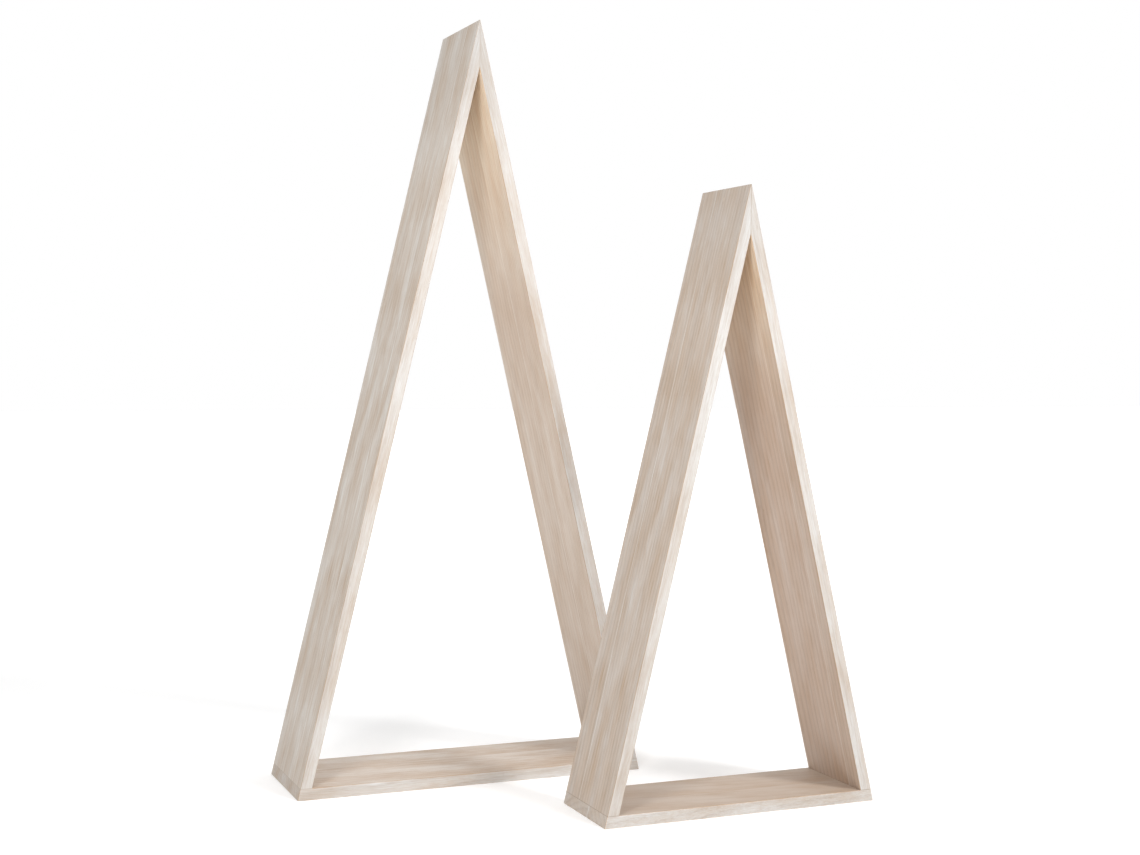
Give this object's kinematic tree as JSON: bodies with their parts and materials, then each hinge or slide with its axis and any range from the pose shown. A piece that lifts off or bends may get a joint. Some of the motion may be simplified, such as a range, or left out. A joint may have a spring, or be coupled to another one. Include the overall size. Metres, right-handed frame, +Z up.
{
  "type": "triangle rack",
  "caption": "Tall, narrow triangular display racks of whitewashed wood boards, open front and rear; a smaller rack stands loose in front of a larger one.",
  "frame": {"origin": "centre of the large rack's underside", "axes": "+X to the right along the base boards, +Y to the rear, +Z up to the ridges; the small rack stands in front of the large one, to its right"},
  "size_m": [0.5476, 0.325, 0.798],
  "materials": {
    "whitewashed_wood": "matte",
    "pin_steel": "satin",
    "wood_filler": "matte"
  },
  "bodies": {
    "large_rack": {"large_base_board_front_stave": "whitewashed_wood", "large_base_board_rear_stave": "whitewashed_wood", "large_left_base_filler": "wood_filler", "large_left_base_pins": "pin_steel", "large_left_board_front_stave": "whitewashed_wood", "large_left_board_rear_stave": "whitewashed_wood", "large_ridge_filler": "wood_filler", "large_ridge_pins": "pin_steel", "large_right_base_filler": "wood_filler", "large_right_base_pins": "pin_steel", "large_right_board_front_stave": "whitewashed_wood", "large_right_board_rear_stave": "whitewashed_wood"},
    "small_rack": {"small_base_board_front_stave": "whitewashed_wood", "small_base_board_rear_stave": "whitewashed_wood", "small_left_base_filler": "wood_filler", "small_left_base_pins": "pin_steel", "small_left_board_front_stave": "whitewashed_wood", "small_left_board_rear_stave": "whitewashed_wood", "small_ridge_filler": "wood_filler", "small_ridge_pins": "pin_steel", "small_right_base_filler": "wood_filler", "small_right_base_pins": "pin_steel", "small_right_board_front_stave": "whitewashed_wood", "small_right_board_rear_stave": "whitewashed_wood"}
  },
  "joints": [
    {"name": "small_rack_slide", "type": "slide", "parent": "large_rack", "child": "small_rack", "axis": [1, 0, 0], "range_m": [-0.566, 0.15]}
  ]
}
